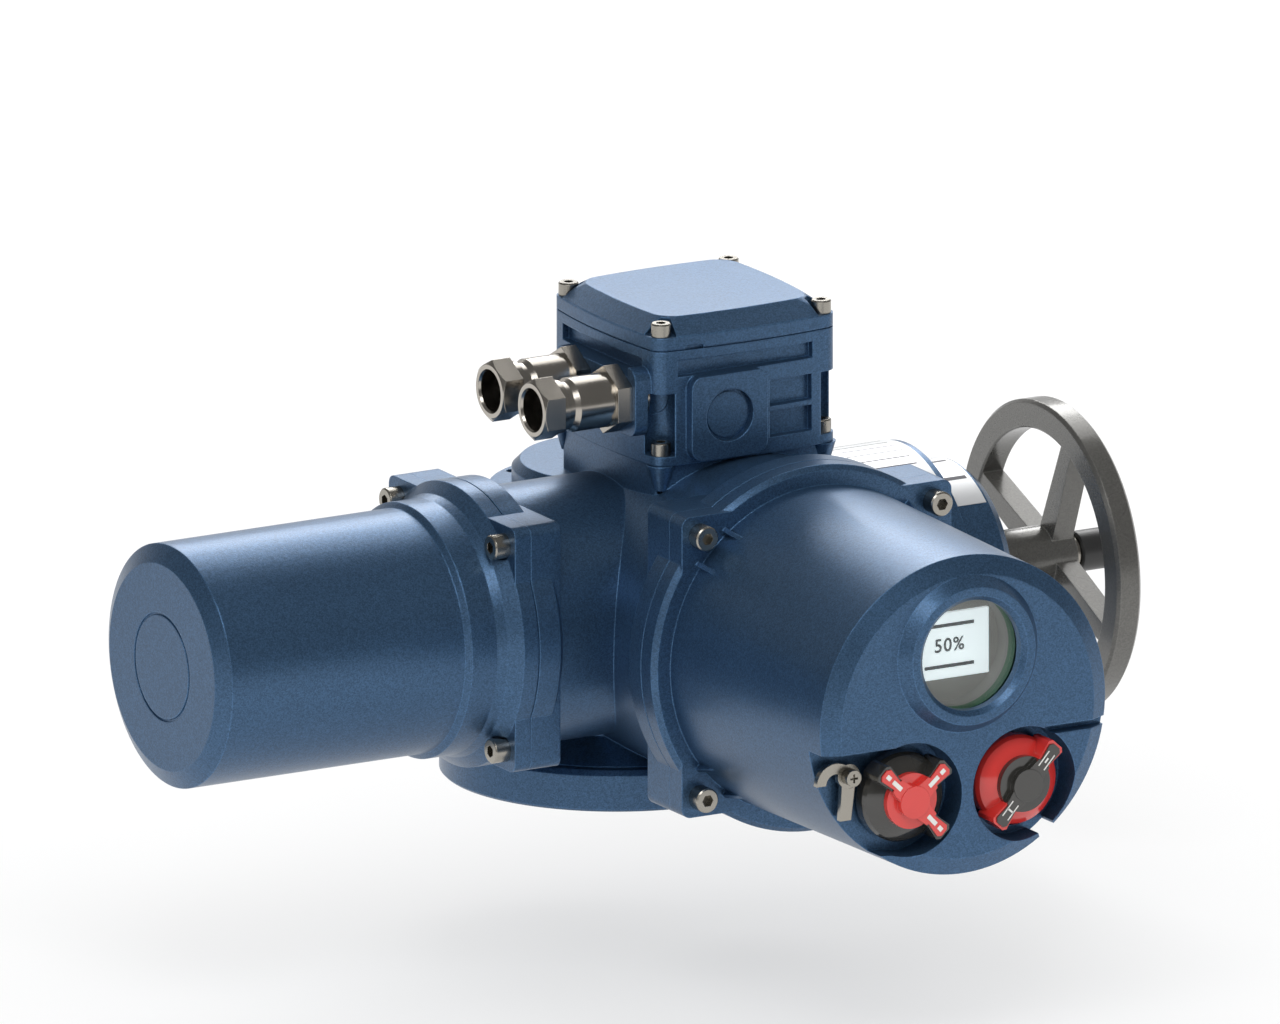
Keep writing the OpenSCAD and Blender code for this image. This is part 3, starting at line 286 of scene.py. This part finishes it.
board = surface("board", moulded, {"Color": (0.02, 0.14, 0.05, 1), "Roughness": 0.3})
dress(board, "control_board")
clamp_tan = surface("clamp_tan", moulded, {"Color": (0.5, 0.38, 0.2, 1), "Roughness": 0.5})
dress(clamp_tan, "terminal_block")
winding = surface("winding", turned, {"Color": (0.35, 0.13, 0.05, 1), "Roughness": 0.45}, Metallic=0.6)
dress(winding, "stator")

# The window is a disc of clear toughened glass, set in its seal. Behind it stands the white
# panel of the display, which is lit from the back.
glass = surface("glass", moulded, {"Color": (0.93, 0.98, 0.97, 1), "Roughness": 0.06},
                links={"Color": "Base Color", "Roughness": "Roughness"}, IOR=1.45,
                Transmission_Weight=1.0)
dress(glass, "window_glass")
panel = surface("panel", moulded, {"Color": (0.86, 0.9, 0.92, 1), "Roughness": 0.4, "Texture": 0.1},
                Emission_Color=(0.9, 0.95, 1.0, 1), Emission_Strength=0.6)
dress(panel, "display_panel")

# The two selector knobs are glossy moulded plastic. A red insert is pressed into the black
# three-armed knob, and a black one into the red two-armed knob.
knob_black = surface("knob_black", moulded, {"Color": (0.030, 0.029, 0.026, 1), "Roughness": 0.17,
                                             "Texture": 0.08}, Coat_Weight=0.8, Coat_Roughness=0.05)
knob_red = surface("knob_red", moulded, {"Color": (0.66, 0.036, 0.030, 1), "Roughness": 0.17,
                                         "Texture": 0.08}, Coat_Weight=0.8, Coat_Roughness=0.05)
dress(knob_black, "mode_knob", "command_knob_insert")
dress(knob_red, "mode_knob_insert", "command_knob")

# The handwheel is cast iron under a dark grey enamel, and is fixed on the end of its shaft.
# Its moulded black grip turns on a steel pin.
wheel_grey = surface("wheel_grey", sprayed, {
    "Color": (0.13, 0.127, 0.118, 1), "Flake": 0.5, "Grain": 0.2, "Gloss": 0.28},
    Metallic=0.5, Coat_Weight=0.4, Coat_Roughness=0.12)
dress(wheel_grey, "handwheel")
grip_black = surface("grip_black", moulded, {"Color": (0.03, 0.03, 0.03, 1), "Roughness": 0.35})
dress(grip_black, "hand_grip")

# The display shows one plain number between two rules. They are a thin dark print on the
# panel's face, placed from the panel's box in the frame.
panel_low, panel_high = (Vector(corner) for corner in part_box("display_panel"))
middle_x, middle_z = (panel_low.x + panel_high.x) / 2, (panel_low.z + panel_high.z) / 2
print_t = 0.0001
digit_h, digit_weight, digit_spacing = 0.0115, 0.00022, 1.12
rule_out, rule_length, rule_width = 0.0125, 0.034, 0.0022


def blocks(rows, thickness):
    """Boxes on a vertical plane. A row is centre x, centre z, angle from +X in degrees, length
    and width; a corner is centre + (c l - s w, s l + c w), and the boxes grow towards -Y."""
    rows = np.asarray(rows, float)
    turn = np.radians(rows[:, 2])[:, None]
    along = rows[:, 3:4] * np.array([-0.5, 0.5, 0.5, -0.5] * 2)
    across = rows[:, 4:5] * np.array([-0.5, -0.5, 0.5, 0.5] * 2)
    depth = np.repeat([[0.0] * 4 + [-thickness] * 4], len(rows), axis=0)
    points = np.stack([rows[:, 0:1] + along * np.cos(turn) - across * np.sin(turn), depth,
                       rows[:, 1:2] + along * np.sin(turn) + across * np.cos(turn)], axis=2)
    sides = np.array([[3, 2, 1, 0], [4, 5, 6, 7], [0, 1, 5, 4], [1, 2, 6, 5], [2, 3, 7, 6], [3, 0, 4, 7]])
    first_corner = np.arange(len(rows))[:, None, None] * 8
    return points.reshape(-1, 3), (first_corner + sides).reshape(-1, 4)


def piece(name, points, faces, finish, body, place=(0, 0, 0)):
    """Adds a finished mesh that rides on a body."""
    mesh = bpy.data.meshes.new(name)
    mesh.from_pydata((np.asarray(points) + np.asarray(place)).tolist(), [], np.asarray(faces).tolist())
    mesh.materials.append(finish)
    made = bpy.data.objects.new(name, mesh)
    scene.collection.objects.link(made)
    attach(made, body)
    return made


display_print = surface("display_print", moulded, {"Color": (0.05, 0.06, 0.07, 1), "Roughness": 0.5,
                                                   "Texture": 0.05})
number = bpy.data.objects.new("number", bpy.data.curves.new("number", "FONT"))
number.data.body = "50%"
number.data.size = digit_h
number.data.offset = digit_weight
number.data.space_character = digit_spacing
number.data.extrude = print_t / 2
number.data.align_x = "CENTER"
number.data.align_y = "CENTER"
scene.collection.objects.link(number)
bpy.context.view_layer.update()
digits = bpy.data.meshes.new_from_object(number.evaluated_get(bpy.context.evaluated_depsgraph_get()))
bpy.data.objects.remove(number)
digits.transform(Matrix.Translation((middle_x, panel_low.y - print_t / 2, middle_z))
                 @ Matrix.Rotation(np.pi / 2, 4, "X"))
digits.materials.clear()
digits.materials.append(display_print)
shown = bpy.data.objects.new("display_number", digits)
scene.collection.objects.link(shown)
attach(shown, "housing")
points, faces = blocks([[middle_x, middle_z + rule_out, 0, rule_length, rule_width],
                        [middle_x, middle_z - rule_out, 0, rule_length, rule_width]], print_t)
piece("display_rules", points, faces, display_print, "housing", (0, panel_low.y, 0))

# Each selector's insert has plain white marks printed on its arms: a long and a short bar on
# each of the mode selector's three, and on the command selector's two a pair of lines with a
# dash or a link between them.
mark_white = surface("mark_white", moulded, {"Color": (0.80, 0.79, 0.76, 1), "Roughness": 0.35,
                                             "Texture": 0.1})
knob_z, knob_left_x, knob_right_x = 0.0708, -0.0195, 0.0581
arm_face_y = -0.3889
mode_arms, dash_arm, link_arm = (136, 41, -47), 48, 228
bar_places, bar_width = ((0.0170, 0.008), (0.0250, 0.0035)), 0.0028
line_out, line_side, line_length, line_width = 0.0185, 0.0024, 0.011, 0.0008
dash_length, link_length, dash_width = 0.0034, 0.0048, 0.0012


def on_arm(knob_x, arm, out, side, tilt, length, width):
    """Row of blocks() for a bar on an arm, out from the knob's axis and to one side of the arm's."""
    c, s = np.cos(np.radians(arm)), np.sin(np.radians(arm))
    return [knob_x + out * c - side * s, knob_z + out * s + side * c, arm + tilt, length, width]


points, faces = blocks([on_arm(knob_left_x, arm, out, 0, 0, length, bar_width)
                        for arm in mode_arms for out, length in bar_places], print_t)
piece("mode_marks", points, faces, mark_white, "mode_selector", (0, arm_face_y, 0))
rows = [on_arm(knob_right_x, arm, line_out, side, 0, line_length, line_width)
        for arm in (dash_arm, link_arm) for side in (-line_side, line_side)]
rows += [on_arm(knob_right_x, link_arm, line_out, 0, 90, link_length, dash_width),
         on_arm(knob_right_x, dash_arm, line_out, 0, 0, dash_length, dash_width)]
points, faces = blocks(rows, print_t)
piece("command_marks", points, faces, mark_white, "command_selector", (0, arm_face_y, 0))

# Two plates of thin rolled stainless sheet lie round the top of the hand drive, one on its
# drum and one on its cover. Both are left blank apart from ruled lines.
line_share, ruled_half_x, ruled_half_y = 0.14, 0.40, 0.38
brush_stretch = (4.0, 900.0, 1.0)
ruled, given, made_out = group("ruled_plate", [("Lines", "Float", 10.0)],
                               [("Color", "Color"), ("Roughness", "Float")])
where = add(ruled, "Attribute", attribute_name="place").outputs["Vector"]
across = add(ruled, "SeparateXYZ", {0: where})
step = add(ruled, "Math", {0: across.outputs["X"], 1: given.outputs["Lines"]}, operation="MULTIPLY")
saw = add(ruled, "Math", {0: step.outputs[0]}, operation="FRACT")
line = add(ruled, "Math", {0: saw.outputs[0], 1: line_share}, operation="LESS_THAN")
in_x = add(ruled, "Math", {0: across.outputs["X"], 1: 0.5, 2: ruled_half_x}, operation="COMPARE")
in_y = add(ruled, "Math", {0: across.outputs["Y"], 1: 0.5, 2: ruled_half_y}, operation="COMPARE")
inside = add(ruled, "Math", {0: in_x.outputs[0], 1: in_y.outputs[0]}, operation="MULTIPLY")
inked = add(ruled, "Math", {0: line.outputs[0], 1: inside.outputs[0]}, operation="MULTIPLY")
stretched = add(ruled, "VectorMath", {0: where, 1: brush_stretch}, operation="MULTIPLY")
brushed = add(ruled, "TexNoise", {"Vector": stretched.outputs[0], "Scale": 1.0, "Detail": 2.0})
shine = add(ruled, "MapRange", {"Value": brushed.outputs["Fac"], "To Min": 0.28, "To Max": 0.48})
bare, ink = (0.74, 0.75, 0.76, 1), (0.05, 0.05, 0.06, 1)
tint = add(ruled, "Mix", {"Factor": inked.outputs[0], "A": bare, "B": ink}, data_type="RGBA")
feed(ruled, made_out, Color=tint.outputs["Result"], Roughness=shine.outputs[0])
plate_t, hand_drive_z, rings = 0.0004, 0.09, 49
for plate_name, radius, x0, x1, back, front, lines in (
        ("drum_plate", 0.0821, 0.146, 0.196, -30, 44, 12.0),
        ("cover_plate", 0.0675, 0.2065, 0.2285, -22, 40, 3.0)):
    # A strip of rings: ring i stands at angle a_i round the hand drive's axis, with corners
    # (x, -r sin a, axis + r cos a) for the two ends x and the two radii r.
    angle = np.radians(np.linspace(back, front, rings))
    r = np.array([radius, radius, radius + plate_t, radius + plate_t])
    points = np.stack([np.repeat([[x0, x1, x1, x0]], rings, axis=0), -np.outer(np.sin(angle), r),
                       hand_drive_z + np.outer(np.cos(angle), r)], axis=2).reshape(-1, 3)
    ring, corner = np.arange(rings - 1)[:, None] * 4, np.arange(4)
    following = (corner + 1) % 4
    faces = np.stack([ring + corner, ring + following, ring + 4 + following, ring + 4 + corner],
                     axis=2).reshape(-1, 4)
    faces = np.vstack([faces, corner[::-1], (rings - 1) * 4 + corner])
    finish = surface(plate_name + "_finish", ruled, {"Lines": lines},
                     links={"Color": "Base Color", "Roughness": "Roughness"}, Metallic=0.55)
    made = piece(plate_name, points, faces, finish, "housing")
    # The rules follow an attribute: 0 to 1 along the strip in X, and across it in Y.
    place = np.stack([np.repeat(np.linspace(0, 1, rings), 4), np.tile([0.0, 1.0, 1.0, 0.0], rings),
                      np.zeros(rings * 4)], axis=1)
    made.data.attributes.new("place", "FLOAT_VECTOR", "POINT").data.foreach_set("vector", place.ravel())

# The terminal box is cast with a tapered web under each of its four screw pads, and with a
# wall between the front left screw's niche and the entry beside it. Both are enamelled.
def revolved(profile, start, stop, steps):
    """Solid swept round Z from a four-cornered (r, z) profile; station i stands at angle a_i, and
    its corner j at (r_j cos a_i, r_j sin a_i, z_j). A sector is closed by its two end faces."""
    profile, whole = np.asarray(profile, float), stop - start >= 360
    angle = np.radians(np.linspace(start, stop, steps, endpoint=not whole))[:, None]
    points = np.stack([profile[:, 0] * np.cos(angle), profile[:, 0] * np.sin(angle),
                       np.broadcast_to(profile[:, 1], (steps, 4))], axis=2).reshape(-1, 3)
    station, corner = np.arange(steps if whole else steps - 1)[:, None], np.arange(4)
    onward, following = (station + 1) % steps * 4, (corner + 1) % 4
    faces = np.stack([station * 4 + corner, onward + corner, onward + following, station * 4 + following],
                     axis=2).reshape(-1, 4)
    return points, faces if whole else np.vstack([faces, corner, (steps - 1) * 4 + corner[::-1]])


box_x, box_y, screw_half, pad_z, entry_top_z = 0.0193, -0.060, 0.05485, 0.2175, 0.2615
web_core_r, web_low_r, web_high_r, web_h, web_gap = 0.0001, 0.0042, 0.0088, 0.016, 0.0002
wall_in_r, wall_out_r, wall_low_z, wall_lap = 0.00952, 0.0107, 0.2395, 0.001
wall_start, wall_stop, web_steps, wall_steps = 22, 158, 40, 25
wall_top_z = entry_top_z + wall_lap
web_points, web_faces = revolved([(web_core_r, pad_z - web_h), (web_low_r, pad_z - web_h),
                                  (web_high_r, pad_z - web_gap), (web_core_r, pad_z - web_gap)],
                                 0, 360, web_steps)
corners = np.array([(box_x + i * screw_half, box_y + j * screw_half, 0)
                    for i in (-1, 1) for j in (-1, 1)])
points = (web_points[None] + corners[:, None]).reshape(-1, 3)
faces = (web_faces[None] + np.arange(4)[:, None, None] * len(web_points)).reshape(-1, 4)
piece("box_webs", points, faces, enamel, "housing")
points, faces = revolved([(wall_in_r, wall_low_z), (wall_out_r, wall_low_z), (wall_out_r, wall_top_z),
                          (wall_in_r, wall_top_z)], wall_start, wall_stop, wall_steps)
piece("niche_wall", points, faces, enamel, "housing", corners[0])
